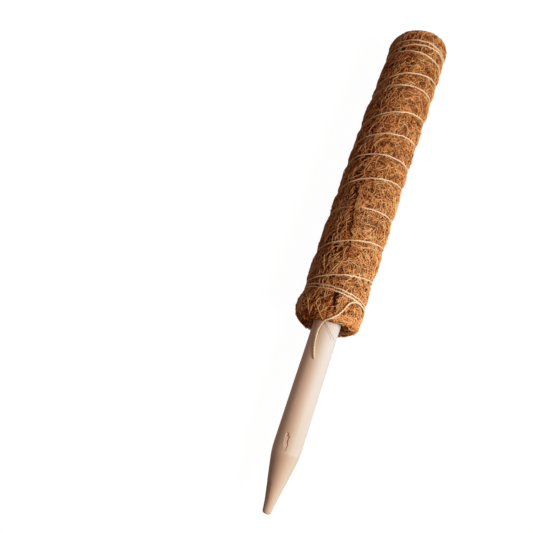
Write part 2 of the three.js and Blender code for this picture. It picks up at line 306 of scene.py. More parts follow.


# Finishes
# Painted shade: tints that darken coir and twine on their +Y side, and a little on the -Y edge
FIRST_SHADE_PACE = 2.5
COIR_PAINTED_SHADES = (1.0, 0.87, 0.77), (0.55, 0.44, 0.44)
BED_PAINTED_SHADES = (1.0, 0.87, 0.77), (0.38, 0.30, 0.32)
TWINE_PAINTED_SHADES = (0.72, 0.57, 0.50), (1.0, 0.94, 0.90)


def wood_finish():
    finish = Finish("pale_turned_wood", roughness=0.55, specular=0.3)
    streak = finish.noise(1, detail=3, stretch=(12, 260, 260))
    fine = finish.noise(1, detail=2, stretch=(60, 1500, 1500))
    blotch = finish.noise(30, detail=2, stretch=(0.5, 1, 1))
    # Painted shade and light: the wood is tan on its +Y side, where shade falls, and pale towards -Y, where
    # the lamp lights it
    side = finish.painted("tan_side") + (blotch - 0.5) * 0.12
    rod = finish.ramp(side, [
        (0, (0.71, 0.69, 0.655)), (0.12, (0.69, 0.635, 0.575)), (0.33, (0.68, 0.585, 0.485)),
        (0.5, (0.69, 0.52, 0.38)), (0.62, (0.69, 0.463, 0.327)),
    ])
    cut = finish.ramp(side, [
        (0, (0.65, 0.575, 0.48)), (0.12, (0.625, 0.525, 0.405)), (0.33, (0.572, 0.417, 0.295)),
        (0.5, (0.57, 0.374, 0.248)), (0.75, (0.466, 0.295, 0.202)),
    ])
    colour = finish.mix(finish.painted("cone"), rod, cut)
    streaked = streak.between(0.45, 0.75) * (0.22 + 0.25 * finish.painted("cone"))
    colour = finish.mix(streaked, colour, (0.58, 0.39, 0.25))
    # The facet's dark tone is painted shade on the flat pared off the cone
    marks = [
        ("facet", 0.6, (0.36, 0.20, 0.12)), ("sliver", 0.75, (0.84, 0.62, 0.43)),
        ("crack", 0.85, (0.34, 0.13, 0.065)), ("end", 0.6, (0.46, 0.33, 0.21)),
    ]
    for mark, strength, tone in marks:
        colour = finish.mix(finish.painted(mark) * strength, colour, tone)
    finish.surface("Base Color", colour)
    finish.surface("Roughness", 0.45 + 0.25 * fine)
    finish.surface("Normal", finish.bump(fine + streak, 0.06 * MM))
    return finish


def coir_bed_finish():
    finish = Finish("coir_bed", roughness=1, specular=0.1)
    clump = finish.noise(420, detail=4, roughness=0.65)
    strand = finish.noise(1, detail=3, stretch=(500, 1100, 1100))
    tone = clump * 0.6 + strand * 0.4
    stops = [(0.34, (0.08, 0.026, 0.009)), (0.48, (0.24, 0.085, 0.027)), (0.66, (0.42, 0.17, 0.058))]
    # Painted shade: the bed is dark in its pits and open places, and on the mat's ends
    felt = finish.mix(finish.painted("pit"), finish.ramp(tone, stops), (0.12, 0.038, 0.013))
    finish.surface("Base Color", finish.with_painted_shade(felt, *BED_PAINTED_SHADES))
    finish.surface("Normal", finish.bump(tone, 0.8 * MM))
    return finish


def coir_fibre_finish():
    finish = Finish("coir_fibre", roughness=0.62, specular=0.12)
    clump = finish.noise(150, detail=3)
    along = finish.noise(700, detail=2)
    tone = finish.painted("tone") + (clump - 0.5) * 0.25 + (along - 0.5) * 0.55
    stops = [
        (0.0, (0.12, 0.034, 0.009)), (0.3, (0.46, 0.148, 0.039)), (0.6, (0.81, 0.335, 0.098)),
        (0.85, (0.93, 0.485, 0.17)), (1.0, (0.98, 0.62, 0.28)),
    ]
    finish.surface("Base Color", finish.with_painted_shade(finish.ramp(tone, stops), *COIR_PAINTED_SHADES))
    finish.surface("Roughness", 0.5 + 0.3 * along)
    return finish


def twine_finish():
    finish = Finish("natural_twine", roughness=0.85, specular=0.2)
    strand = finish.noise(1, detail=3, stretch=(2200, 2200, 2200))
    spot = finish.noise(60, detail=2)
    colour = finish.mix(strand.between(0.3, 0.7), (0.84, 0.60, 0.34), (1.0, 0.87, 0.61))
    colour = finish.mix(spot.between(0.55, 0.8) * 0.4, colour, (0.70, 0.46, 0.25))
    finish.surface("Base Color", finish.with_painted_shade(colour, *TWINE_PAINTED_SHADES))
    finish.surface("Normal", finish.bump(strand, 0.08 * MM))
    return finish


WOOD = wood_finish()
COIR_BED = coir_bed_finish()
COIR_FIBRE = coir_fibre_finish()
TWINE = twine_finish()


# Helpers for pieces
def new_piece(name, points, faces, layout, finish, painted):
    """A piece of the part on its one body. layout holds each face corner's place on the finish sheet."""
    mesh = bpy.data.meshes.new(name)
    mesh.from_pydata(points.reshape(-1, 3), [], faces)
    mesh.shade_smooth()
    sheet = mesh.uv_layers.new(name="OFBake")
    sheet.data.foreach_set("uv", np.asarray(layout, np.float32).ravel())
    for title, values in painted.items():
        stored = np.broadcast_to(values, points.shape[:-1]).astype(np.float32)
        mesh.attributes.new(title, "FLOAT", "POINT").data.foreach_set("value", stored.ravel())
    mesh.materials.append(finish.material)
    piece = bpy.data.objects.new(name, mesh)
    bpy.context.scene.collection.objects.link(piece)
    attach(piece, "root")
    return piece


def wall_faces(rows, columns, closed):
    """Faces of a wall of points that goes round the pole, and their corners' places on the finish sheet.

    A closed wall joins its last row to its first.
    """
    numbers = np.arange(rows * columns).reshape(rows, columns)
    here = numbers if closed else numbers[:-1]
    ahead = np.roll(numbers, -1, 0)[:len(here)]
    faces = np.stack([here, ahead, np.roll(ahead, -1, 1), np.roll(here, -1, 1)], -1).reshape(-1, 4)
    row, column = np.indices(here.shape)
    layout = np.stack([
        (row[..., None] + np.array([0, 1, 1, 0])) / rows,
        (column[..., None] + np.array([0, 0, 1, 1])) / columns,
    ], -1).reshape(-1, 2)
    return faces.tolist(), layout


def directions(paths, beside=None):
    """Directions outward and sideways at each place along paths.

    beside holds directions that the paths run across. Left out, they point away from the pole's axis.
    """
    along = np.gradient(paths, axis=-2)
    along /= np.linalg.norm(along, axis=-1, keepdims=True)
    if beside is None:
        outward = paths - np.array([0, 0, AXIS_HEIGHT])
        outward[..., 0] = 0
    else:
        outward = np.broadcast_to(beside, paths.shape).astype(float)
    outward -= along * np.sum(outward * along, axis=-1, keepdims=True)
    outward /= np.linalg.norm(outward, axis=-1, keepdims=True) + 1e-9
    return outward, np.cross(along, outward)


FIELD_PLACES = 40  # places of a strand that share one field of the finish sheet
FIELD_MARGIN = 0.08


def tube_piece(name, paths, radii, sides, finish, painted=None, beside=None):
    """Closed round tubes along many paths at once: paths holds strands, places along them and coordinates."""
    strands, places = paths.shape[:2]
    outward, sideways = directions(paths, beside)
    turn = np.linspace(0, 2 * np.pi, sides, endpoint=False)[:, None]
    ring = outward[:, :, None] * np.cos(turn) + sideways[:, :, None] * np.sin(turn)
    points = paths[:, :, None] + ring * np.broadcast_to(radii, (strands, places))[..., None, None]
    numbers = np.arange(strands * places * sides).reshape(strands, places, sides)
    here, ahead = numbers[:, :-1], numbers[:, 1:]
    quads = np.stack([here, np.roll(here, -1, 2), np.roll(ahead, -1, 2), ahead], -1).reshape(-1, 4)
    caps = np.concatenate([numbers[:, 0, ::-1], numbers[:, -1]])

    # Each stretch of a strand has its own small field on the finish sheet
    stretch = min(FIELD_PLACES, places - 1)
    fields_each = math.ceil((places - 1) / stretch)
    fields_across = math.ceil(math.sqrt(strands * fields_each))
    strand, place, side = np.indices((strands, places - 1, sides))
    field = strand * fields_each + place // stretch
    corner_along = place[..., None] % stretch + np.array([0, 0, 1, 1])
    corner_round = side[..., None] + np.array([0, 1, 1, 0])
    room = 1 - 2 * FIELD_MARGIN
    across = field[..., None] % fields_across + FIELD_MARGIN + room * corner_along / stretch
    up = field[..., None] // fields_across + FIELD_MARGIN + room * corner_round / sides
    layout = np.stack([across, up], -1).reshape(-1, 2)
    end_field = np.tile(np.arange(strands), 2) * fields_each
    end_spot = np.stack([end_field % fields_across, end_field // fields_across], -1) + FIELD_MARGIN
    layout = np.concatenate([layout, np.repeat(end_spot, sides, 0)]) / fields_across

    # Painted shade by the side of the pole that each place lies on
    around = np.degrees(np.arctan2(-paths[..., 1], paths[..., 2] - AXIS_HEIGHT))
    painted = {"stain": painted_shade_share(around), **(painted or {})}
    painted = {title: np.asarray(values)[..., None] for title, values in painted.items()}
    return new_piece(name, points, quads.tolist() + caps.tolist(), layout, finish, painted)


PLIES = 2
PLY_RADIUS = 0.36 * MM
PLY_WAVER = 0.2  # how much thicker and thinner a ply is by turns
PLY_OFFSET = 0.25 * MM
PLY_PITCH = 4.2 * MM
PLY_SIDES = 6
twine_waver = Unevenness(41, 5 * MM)


def ply_paths(path, ply_offset, pitch):
    """Centre lines of the plies that are twisted round a path."""
    outward, sideways = directions(path)
    step = np.linalg.norm(np.gradient(path, axis=0), axis=1)
    twist = 2 * np.pi * np.cumsum(step) / pitch
    lines = []
    for ply in range(PLIES):
        turn = (twist + 2 * np.pi * ply / PLIES)[:, None]
        lines.append(path + ply_offset * (outward * np.cos(turn) + sideways * np.sin(turn)))
    return np.array(lines)


def ply_radii(plies):
    return PLY_RADIUS * (1 + PLY_WAVER * twine_waver.at(plies))


# Loose end of the twine
TAIL_SIDES = 8


def make_tail():
    knots = [pole_point(MAT_X + rise * MM, angle, radius * MM) for rise, angle, radius in TAIL_ROUTE]
    path = smooth_route(knots, steps=8)
    plies = ply_paths(path, PLY_OFFSET, PLY_PITCH)
    radii = ply_radii(plies)
    tail = tube_piece("twine_tail_twisted", plies, radii, TAIL_SIDES, TWINE, {"stain": 0})
    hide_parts("twine_tail")


make_tail()


# Route of the winding
def worked_out_climbs():
    ties = np.array(LOWER_TIE_CLIMBS) * TWINE_DIAMETER, np.array(UPPER_TIE_CLIMBS) * TWINE_DIAMETER
    room = MAT_LENGTH - LOWER_TIE_INSET - UPPER_TIE_INSET - ties[0].sum() - ties[1].sum()
    spiral = np.array(SPIRAL_CLIMBS) * room / sum(SPIRAL_CLIMBS)
    return np.concatenate([ties[0], spiral, ties[1]])


climbs = worked_out_climbs()
side_rises = LOWER_TIE_INSET + np.concatenate([[0], np.cumsum(climbs)])
before = np.concatenate([[0], climbs])
after = np.concatenate([climbs, [0]])
side_slopes = np.where(before * after > 0, np.sign(after) * np.minimum(abs(before), abs(after)), 0)
LAST_SIDE_ANGLE = 90 + 180 * len(climbs)
WINDING_START = LOWER_KNOT_ANGLE + KNOT_HALF_ANGLE
WINDING_END = LAST_SIDE_ANGLE - 90 + UPPER_KNOT_ANGLE - KNOT_HALF_ANGLE
TURN_COUNT = math.ceil((WINDING_END - WINDING_START) / TURN)


def twine_rise(angle):
    """Rise of the winding at an angle, counted on from turn to turn."""
    place = np.clip((np.asarray(angle, float) - 90) / 180, 0, len(climbs))
    index = np.minimum(place.astype(int), len(climbs) - 1)
    return along_knots(side_rises, side_slopes, index, place - index)


def pinch_share(rise, angle):
    """How far, from 0 to 1, the twine draws the mat in at a place on it."""
    share = np.zeros(np.broadcast(rise, angle).shape)
    for turn in range(TURN_COUNT + 2):
        along = np.mod(angle, TURN) + TURN * turn
        distance = np.abs(rise - twine_rise(along)) / PINCH_REACH
        past = np.maximum(WINDING_START - along, along - WINDING_END)
        pull = 1 - smooth_step(past, 0, PINCH_FADE_ANGLE)
        share = np.maximum(share, np.clip(1 - distance, 0, 1) ** PINCH_SHARPNESS * pull)
    return share


# Form of the mat
BULGE = 0.35 * MM  # how far the mat swells between the turns of twine
PINCH_DEPTH = 1.5 * MM
BED_DEPTH = 0.9 * MM  # mean depth of the bed under the outermost fibres
PIT_DEPTH = 0.9 * MM
FLARE = 1.0 * MM  # how far the lower end stands out on the +Y side
FLARE_ANGLE = -95
FLARE_RISE = 11 * MM
FLARE_REACH = 6 * MM
SLACK = 1.1 * MM  # how far the lower part falls in on the other side
SLACK_FADE = 4 * MM, 80 * MM
KNOT_HOLD = 8 * MM  # how far from the knot the mat stays tight
RIM_REACH = 6 * MM
RIM_DRAW_IN = 3.4 * MM
LOWER_RIM_SHARE = 0.3  # how much of that the lower rim has away from the flare
UPPER_RIM_SHARE = 0.75
SEAM_STEP = 1.0 * MM
SEAM_LIP = 0.45  # how much of the step stands out, the rest falling in
SEAM_FALL = 9  # degrees over which the step fades
SEAM_EDGE = 1.5
BROAD_LUMP = 0.45 * MM
SMALL_LUMP = 0.25 * MM
# The mat leans a little to one side of the stake: rise, and lean towards -Y, in millimetres
LEAN_ROUTE = [(0, -0.6), (35, -0.6), (110, 0), (150, 0.3), (205, 1.6), (235, 2.6), (266, 2.7)]
# Edge of the mat's outer turn: rise, angle and how far it stands open, from 0 to 1
SEAM_ROUTE = [
    (0, 3, 0.3), (10, -1, 0.3), (18, -2.5, 0.3), (24, -2, 0.1), (52, -2, 0.1), (60, -5, 0.4), (69, -12, 1),
    (73.5, -11.7, 1), (78, -13.6, 1), (83, -16.2, 1), (88, -18.1, 1), (102, -20.6, 0.7), (112, -22.4, 0.3),
    (150, -24, 0.15), (270, -26, 0.1),
]
# The mat is cut by hand, so its ends lie a little aslant: their mean place and slant, as rises
LOWER_CUT = -0.1 * MM
LOWER_SLANT = 1.9 * MM
LOWER_BITE = 2.8 * MM  # how far the lower end is cut shorter on its +Y side
BITE_ANGLE = -85
BITE_WIDTH = 35
UPPER_CUT = MAT_LENGTH - 0.6 * MM
UPPER_SLANT = 2.3 * MM
# Open places in the mat: rise and angle of their two ends, half width and depth
OPEN_PLACES = [
    ((3, 3.2), (6.5, 2.8), 1.0, 1.2),
    ((6.5, 2.8), (10.4, -1.2), 1.0, 1.4),
    ((10.4, -1.2), (14, -2.6), 1.2, 1.8),
    ((14, -2.6), (16, -1.2), 1.9, 1.8),
    ((16, -3.4), (18.4, -2), 2.6, 2.0),
    ((0.8, -6.8), (2, -7.5), 1.0, 1.6),
    ((179.3, 33), (179.3, 54), 1.4, 1.3),
    ((179.3, 54), (182.5, 74), 1.2, 1.3),
]
OPENING_BOTTOM = 0.4  # how much of an open place is at full depth
broad_lumps = Unevenness(11, 9 * MM)
lumps = Unevenness(12, 4 * MM)
pits = Unevenness(13, 1.7 * MM)
fine_pits = Unevenness(14, 1.1 * MM)


def lower_end(angle):
    bite = LOWER_BITE * bell(wrapped(angle) - BITE_ANGLE, BITE_WIDTH)
    return LOWER_CUT + LOWER_SLANT * facing(angle) + bite


def upper_end(angle):
    return UPPER_CUT + UPPER_SLANT * facing(angle)


def seam_at(rise):
    """Angle of the mat's outer edge at a rise, and how far it stands open."""
    return along_route(rise, SEAM_ROUTE), along_route(rise, SEAM_ROUTE, 2)


def lean_at(rise, angle):
    """How far the mat's lean moves its surface out at a place on it."""
    return along_route(rise, LEAN_ROUTE) * MM * facing(angle)


def slack_at(rise, angle):
    """How far the lower part of the mat falls in on its -Y side, away from the knot."""
    free = 1 - bell(rise - twine_rise(LOWER_KNOT_ANGLE), KNOT_HOLD)
    return SLACK * free * np.clip(facing(angle), 0, 1) * (1 - smooth_step(rise, *SLACK_FADE))


def opening_depth(rise, angle):
    """Depth of the open slit and tear at a place on the mat."""
    depth = np.zeros(np.broadcast(rise, angle).shape)
    across = np.radians(wrapped(angle)) * MAT_RADIUS
    for start, end, half_width, deepest in OPEN_PLACES:
        low = np.array([start[0] * MM, math.radians(start[1]) * MAT_RADIUS])
        high = np.array([end[0] * MM, math.radians(end[1]) * MAT_RADIUS])
        distance = distance_to_run(rise, across, low, high)
        inside = 1 - smooth_step(distance, OPENING_BOTTOM * half_width * MM, half_width * MM)
        depth = np.maximum(depth, deepest * MM * inside)
    return depth


def mat_form(rise, angle):
    """Distance of the mat's even surface from the pole's axis."""
    angle = wrapped(angle)
    radius = MAT_RADIUS + BULGE - BED_DEPTH - PINCH_DEPTH * pinch_share(rise, angle) + lean_at(rise, angle)
    to_end = np.minimum(rise - lower_end(angle), upper_end(angle) - rise)
    rim = np.clip(1 - to_end / RIM_REACH, 0, 1)
    left = np.clip(np.cos(np.radians(angle - FLARE_ANGLE)), 0, 1) ** 1.5
    lower_share = LOWER_RIM_SHARE + (1 - LOWER_RIM_SHARE) * left
    draw_in = RIM_DRAW_IN * np.where(rise < MAT_LENGTH / 2, lower_share, UPPER_RIM_SHARE)
    radius = radius - draw_in * (1 - np.sqrt(np.clip(1 - rim**2, 0, 1)))
    radius = radius + FLARE * left * bell(rise - FLARE_RISE, FLARE_REACH) - slack_at(rise, angle)
    edge_angle, openness = seam_at(rise)
    past_seam = wrapped(angle - edge_angle)
    fading = np.exp(-np.abs(past_seam) / SEAM_FALL)
    inner = -fading * smooth_step(np.abs(past_seam), 0, SEAM_EDGE)
    radius = radius + SEAM_STEP * openness * np.where(past_seam > 0, SEAM_LIP * fading, inner)
    return radius + BROAD_LUMP * broad_lumps.at(pole_point(rise, angle, MAT_RADIUS))


def pit_share(rise, angle):
    """How far, from 0 to 1, a place on the mat lies in one of its small open pits."""
    place = pole_point(rise, angle, MAT_RADIUS)
    broad = smooth_step(pits.at(place), 0.42, 0.66)
    fine = smooth_step(fine_pits.at(place), 0.38, 0.66)
    return np.maximum(broad, 0.8 * fine)


def mat_bed(rise, angle):
    """Distance of the mat's pitted bed from the pole's axis."""
    place = pole_point(rise, angle, MAT_RADIUS)
    radius = mat_form(rise, angle) - opening_depth(rise, angle) + SMALL_LUMP * lumps.at(place)
    return radius - PIT_DEPTH * pit_share(rise, angle)


# Bed of the mat
BED_COLUMNS = 220
BED_ROWS = 380
BED_CLEARANCE = 0.02 * MM  # from the floor
END_RINGS = 12
BORE_RADIUS = STAKE_RADIUS + 0.3 * MM
BORE_SETBACK = 2 * MM  # bore's rim behind the mat's end
LAYER_RADIUS = 17 * MM  # where the mat's two turns meet on its ends
LAYER_DRIFT = 1.2 * MM
END_HOLLOW = 1.2 * MM
LEAST_HOLLOW = 0.3 * MM
END_PIT = 0.55  # painted shade: how dark the bed is on the mat's ends


def end_painted_shade(angle):
    """How much shade is painted on the mat's ends, more on the -Y side."""
    return 0.6 + 0.35 * facing(angle)


def end_hollow(angle, radius):
    """How far the mat's end is hollowed at a place on it: between its two layers, and in its pits."""
    place = pole_point(0, angle, radius)
    layer = LAYER_RADIUS + LAYER_DRIFT * wrapped(angle) / 180
    gap = bell(radius - layer, 0.8 * MM)
    hollow = gap + np.clip(pits.at(place) + 0.1, 0, 1) + (lumps.at(place) + 0.8) / 2
    return np.clip(END_HOLLOW * hollow, LEAST_HOLLOW, None)


def make_bed():
    angle = np.linspace(-180, 180, BED_COLUMNS, endpoint=False)[None, :]
    low, high = lower_end(angle), upper_end(angle)
    rise = low + (high - low) * np.linspace(0, 1, BED_ROWS)[:, None]
    outer_radius = mat_bed(rise, angle)
    outer_x = MAT_X + rise
    share = np.linspace(0, 1, END_RINGS + 2)[1:-1][:, None]
    upper_radius = outer_radius[-1] + (BORE_RADIUS - outer_radius[-1]) * share
    lower_radius = (outer_radius[0] + (BORE_RADIUS - outer_radius[0]) * share)[::-1]
    inside = np.full((1, BED_COLUMNS), BORE_RADIUS)
    radius = np.concatenate([outer_radius, upper_radius, inside, inside, lower_radius])
    x = np.concatenate([
        outer_x, MAT_X + high - end_hollow(angle, upper_radius), MAT_X + high - BORE_SETBACK,
        MAT_X + low + BORE_SETBACK, MAT_X + low + end_hollow(angle, lower_radius),
    ])
    points = pole_point(x, angle, radius)
    points[..., 2] = np.maximum(points[..., 2], BED_CLEARANCE)
    faces, layout = wall_faces(*radius.shape, closed=True)
    # Painted shade in the pits, the open places and on the mat's ends
    opening = smooth_step(opening_depth(rise, angle), 0.3 * MM, 1.5 * MM)
    pit = np.full(radius.shape, END_PIT)
    pit[:BED_ROWS] = np.maximum(pit_share(rise, angle), opening)
    stain = np.broadcast_to(end_painted_shade(angle), radius.shape).copy()
    stain[:BED_ROWS] = painted_shade_share(angle)
    painted = {"pit": pit, "stain": stain}
    bed = new_piece("coir_mat_bed", points, faces, layout, COIR_BED, painted)
    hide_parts("coir_mat")


make_bed()


# Fibres of the mat
FIBRE_SIDES = 3
FIBRE_PLACES = 13
FIBRE_SHARE = np.linspace(0, 1, FIBRE_PLACES)
GROUND_CLEARANCE = 0.4 * MM
TONE_SPREAD = 0.21
TONE_FALL = 0.35  # how much darker a fibre is for each millimetre that it lies deeper
# Painted light: the mat is paler towards its lower end and darker at its top, as light falls off along it
PAINTED_LIGHT_ROUTE = [(90, 0.14), (170, 0), (200, 0), (245, -0.05)]  # rise in millimetres, and added tone
# Painted shade on a corner at the mat's lower end
CORNER_SHADE = 0.28
CORNER_ANGLE = -38
CORNER_WIDTH = 16
CORNER_FADE = 16 * MM, 24 * MM
# How far, in millimetres, fibres dip where the mat gives way under them, and how much darker they are painted
# there as shade
PIT_DIP = 0.55
PIT_TONE = 0.22
TUCK_DIP = 1.4
SEAM_TONE = 0.5
OPENING_DIP = 0.9
OPENING_TONE = 0.45
# How the fibres weave in and out of the mat, in millimetres
WEAVE_DEPTH = 0.25
HEIGHT_SPREAD = 0.15
BURIED_DEPTH = 0.9
# 0 along a fibre, rising to 1 at its two ends
BURIED_ENDS = 1 - smooth_step(np.minimum(FIBRE_SHARE, 1 - FIBRE_SHARE), 0, 0.18)


def fibre_piece(name, rise, angle, radius, thickness, tone, beside=None, **painted):
    """Fibres that thin to their ends, at places given by rise, angle and distance from the pole's axis."""
    paths = pole_point(MAT_X + rise, angle, radius)
    paths[..., 2] = np.maximum(paths[..., 2], GROUND_CLEARANCE)
    radii = thickness[:, None] / 2 * (0.45 + 0.55 * np.sin(np.pi * FIBRE_SHARE) ** 0.5)
    tube_piece(name, paths, radii, FIBRE_SIDES, COIR_FIBRE, {"tone": tone, **painted}, beside)


@dataclass
class FibreLayer:
    """Fibres strewn over the mat: lengths, thicknesses and heights in millimetres, bends in radians."""

    name: str
    count: int
    length: tuple
    thickness: tuple
    curl: float
    height: float
    tone: float
    painted_shade_tone: float = 0.0  # added where shade is painted on the mat
    painted_shade_weight: float = 1.0  # how much of the mat's painted shade the fibres take
    rises: tuple = (0, 1)  # as shares of the mat's length
    angles: tuple = (-180, 180)
    heading: tuple = None
    arch: tuple = (0, 0)


FIBRE_LAYERS = [
    FibreLayer("deep_1", 2600, (7, 16), (0.5, 0.75), curl=2.2, height=0.15, tone=0.55, painted_shade_tone=-0.4),
    FibreLayer("deep_2", 2600, (6, 14), (0.45, 0.7), curl=3.0, height=0.35, tone=0.57, painted_shade_tone=-0.36),
    FibreLayer("top_1", 1900, (8, 16), (0.42, 0.6), curl=3.4, height=0.75, tone=0.74, painted_shade_tone=-0.14),
    FibreLayer("top_2", 1700, (10, 21), (0.42, 0.6), curl=2.0, height=0.8, tone=0.78, painted_shade_tone=0.04),
    FibreLayer("top_3", 1800, (4, 9), (0.36, 0.5), curl=4.5, height=0.6, tone=0.66, painted_shade_tone=-0.22),
    FibreLayer("shaded_side", 600, (12, 26), (0.45, 0.65), curl=0.9, height=0.85, tone=0.88,
               painted_shade_weight=0.85, angles=(-125, -18), heading=(0.5, 0.5)),
    FibreLayer("lower_corner", 45, (8, 17), (0.4, 0.6), curl=1.2, height=1.1, tone=0.95,
               painted_shade_weight=0.5, rises=(0, 0.08), angles=(-115, -15)),
    FibreLayer("loose", 300, (7, 14), (0.2, 0.34), curl=2.6, height=0.5, tone=0.66, arch=(0.2, 0.9)),
    FibreLayer("over_twine", 45, (7, 13), (0.42, 0.6), curl=1.6, height=0.9, tone=0.72, painted_shade_tone=-0.1,
               rises=(0.328, 0.346), angles=(-32, -4), heading=(0.4, 0.5), arch=(1.2, 1.5)),
]


def centred(run):
    return run - run.mean(1, keepdims=True)


def fibre_headings(draw, count, start, curl):
    """Heading along each curly fibre, in radians."""
    bend = draw.normal(0, curl, count)[:, None]
    sway = draw.uniform(0, 2 * np.pi, count)[:, None]
    swing = draw.normal(0, 0.6, count)[:, None]
    return start[:, None] + bend * (FIBRE_SHARE - 0.5) + swing * np.sin(2 * np.pi * FIBRE_SHARE + sway)


def laid_at_seam(rise, angle):
    """Angles along fibres, and how far they are tucked under, where the mat's outer edge stands open.

    Fibres of the outer turn turn back at the edge. Those of the turn below it run on beneath it.
    """
    edge_angle, openness = seam_at(rise)
    past = wrapped(angle - edge_angle)
    near = (np.abs(past) < 60) & (openness.max(1, keepdims=True) > 0.4)
    outer = past.mean(1, keepdims=True) > 0
    tucked = np.where(near & ~outer, smooth_step(past, 0, 3), 0)
    return np.where(near & outer, edge_angle + np.abs(past), angle), tucked


def seam_shade(rise, angle):
    """How far, from 0 to 1, a place lies in the shade beside the mat's outer edge."""
    edge_angle, openness = seam_at(rise)
    past = wrapped(angle - edge_angle)
    return openness * np.where(past < 0, np.exp(np.minimum(past, 0) / 10), 0)


def corner_share(rise, angle):
    """How far, from 0 to 1, a place lies in the painted shade on a corner at the mat's lower end."""
    return bell(wrapped(angle) - CORNER_ANGLE, CORNER_WIDTH) * (1 - smooth_step(rise, *CORNER_FADE))


def strewn_fibres(draw, layer):
    """Rise and angle along the fibres of a layer, strewn over the mat, and how far they are tucked under."""
    count = layer.count
    step = draw.uniform(*layer.length, count)[:, None] * MM / (FIBRE_PLACES - 1)
    start = draw.uniform(0, 2 * np.pi, count) if layer.heading is None else draw.normal(*layer.heading, count)
    heading = fibre_headings(draw, count, start, layer.curl)
    middle = draw.uniform(*layer.rises, count)[:, None] * MAT_LENGTH
    rise = middle + centred(np.cumsum(np.cos(heading), 1) * step)
    across = centred(np.cumsum(np.sin(heading), 1) * step)
    angle = draw.uniform(*layer.angles, count)[:, None] + np.degrees(across / MAT_RADIUS)
    angle, tucked = laid_at_seam(rise, angle)
    low = lower_end(angle) + draw.uniform(-1.2, 2.2, count)[:, None] * MM
    high = upper_end(angle) - draw.uniform(-0.6, 1.8, count)[:, None] * MM
    return high - np.abs(high - low - np.abs(rise - low)), angle, tucked


def weave(draw, count, middle):
    """Height of a fibre along its length, in millimetres: in and out of the mat, with its ends buried."""
    waves = draw.uniform(0.6, 2.2, count)[:, None]
    start = draw.uniform(0, 2 * np.pi, count)[:, None]
    height = draw.normal(middle, HEIGHT_SPREAD, count)[:, None]
    height = height + WEAVE_DEPTH * np.sin(2 * np.pi * waves * FIBRE_SHARE + start)
    return height - BURIED_DEPTH * BURIED_ENDS


def drawn_tones(draw, count, middle, height):
    """Tone along each fibre: the deeper it lies, the darker it is."""
    return draw.normal(middle, TONE_SPREAD, count)[:, None] + TONE_FALL * (np.minimum(height, 0.9) - 0.6)


def make_fibres():
    draw = np.random.default_rng(21)
    for layer in FIBRE_LAYERS:
        rise, angle, tucked = strewn_fibres(draw, layer)
        count = len(rise)
        pit = pit_share(rise, angle)
        opening = opening_depth(rise, angle) / MM
        arch = draw.uniform(*layer.arch, count)[:, None] * np.sin(np.pi * FIBRE_SHARE)
        height = weave(draw, count, layer.height) + arch - PIT_DIP * pit - TUCK_DIP * tucked
        # Painted shade: fibres are darker in pits, beside the open edge, in open places and in the lower
        # corner
        tone = drawn_tones(draw, count, layer.tone, height) - PIT_TONE * pit
        tone = tone - SEAM_TONE * seam_shade(rise, angle) - OPENING_TONE * opening
        tone = tone + along_route(rise, PAINTED_LIGHT_ROUTE)
        stain = painted_shade_share(angle)
        tone = tone - CORNER_SHADE * corner_share(rise, angle) + layer.painted_shade_tone * stain
        height = height - OPENING_DIP * opening
        thickness = draw.uniform(*layer.thickness, count) * MM
        radius = mat_form(rise, angle) + height * MM
        name = "coir_fibres_" + layer.name
        fibre_piece(name, rise, angle, radius, thickness, tone, stain=layer.painted_shade_weight * stain)


make_fibres()


# Fibres over the two ends of the mat
END_FIBRES = 420
END_MARGIN = 0.4 * MM
RIM_FIBRES = 380
RIM_TONES = [0.4, 0.7, 0.9]
STRAY_SHARE = 0.5


def end_rise(angle, depth, end):
    """Rise of a place that lies some depth inside the mat's lower or upper end."""
    return upper_end(angle) - depth if end == "upper" else lower_end(angle) + depth


def make_end_fibres(draw, end):
    """Curly fibres that lie on one end of the mat."""
    start = draw.uniform(0, 2 * np.pi, END_FIBRES)
    heading = fibre_headings(draw, END_FIBRES, start, curl=2.6)
    step = draw.uniform(4, 11, END_FIBRES)[:, None] * MM / (FIBRE_PLACES - 1)
    reach = np.sqrt(draw.uniform(BORE_RADIUS**2, MAT_RADIUS**2, END_FIBRES))[:, None]
    turn = draw.uniform(0, 2 * np.pi, END_FIBRES)[:, None]
    across = reach * np.sin(turn) + centred(np.cumsum(np.cos(heading), 1) * step)
    up = reach * np.cos(turn) + centred(np.cumsum(np.sin(heading), 1) * step)
    angle = np.degrees(np.arctan2(across, up))
    radius = np.hypot(across, up)
    rim_radius = mat_form(end_rise(angle, 0, end), angle)
    kept = ((radius > BORE_RADIUS + END_MARGIN) & (radius < rim_radius - END_MARGIN)).all(1)
    angle, radius = angle[kept], radius[kept]
    height = weave(draw, len(radius), middle=0.35)
    depth = np.maximum(0.6 * end_hollow(angle, radius) - height * MM, 0.1 * MM)
    tone = drawn_tones(draw, len(radius), 0.62, height) - 0.15 * painted_shade_share(angle)
    thickness = draw.uniform(0.4, 0.6, len(radius)) * MM
    name = f"coir_fibres_{end}_end"
    rise = end_rise(angle, depth, end)
    fibre_piece(name, rise, angle, radius, thickness, tone, beside=(1, 0, 0), stain=end_painted_shade(angle))


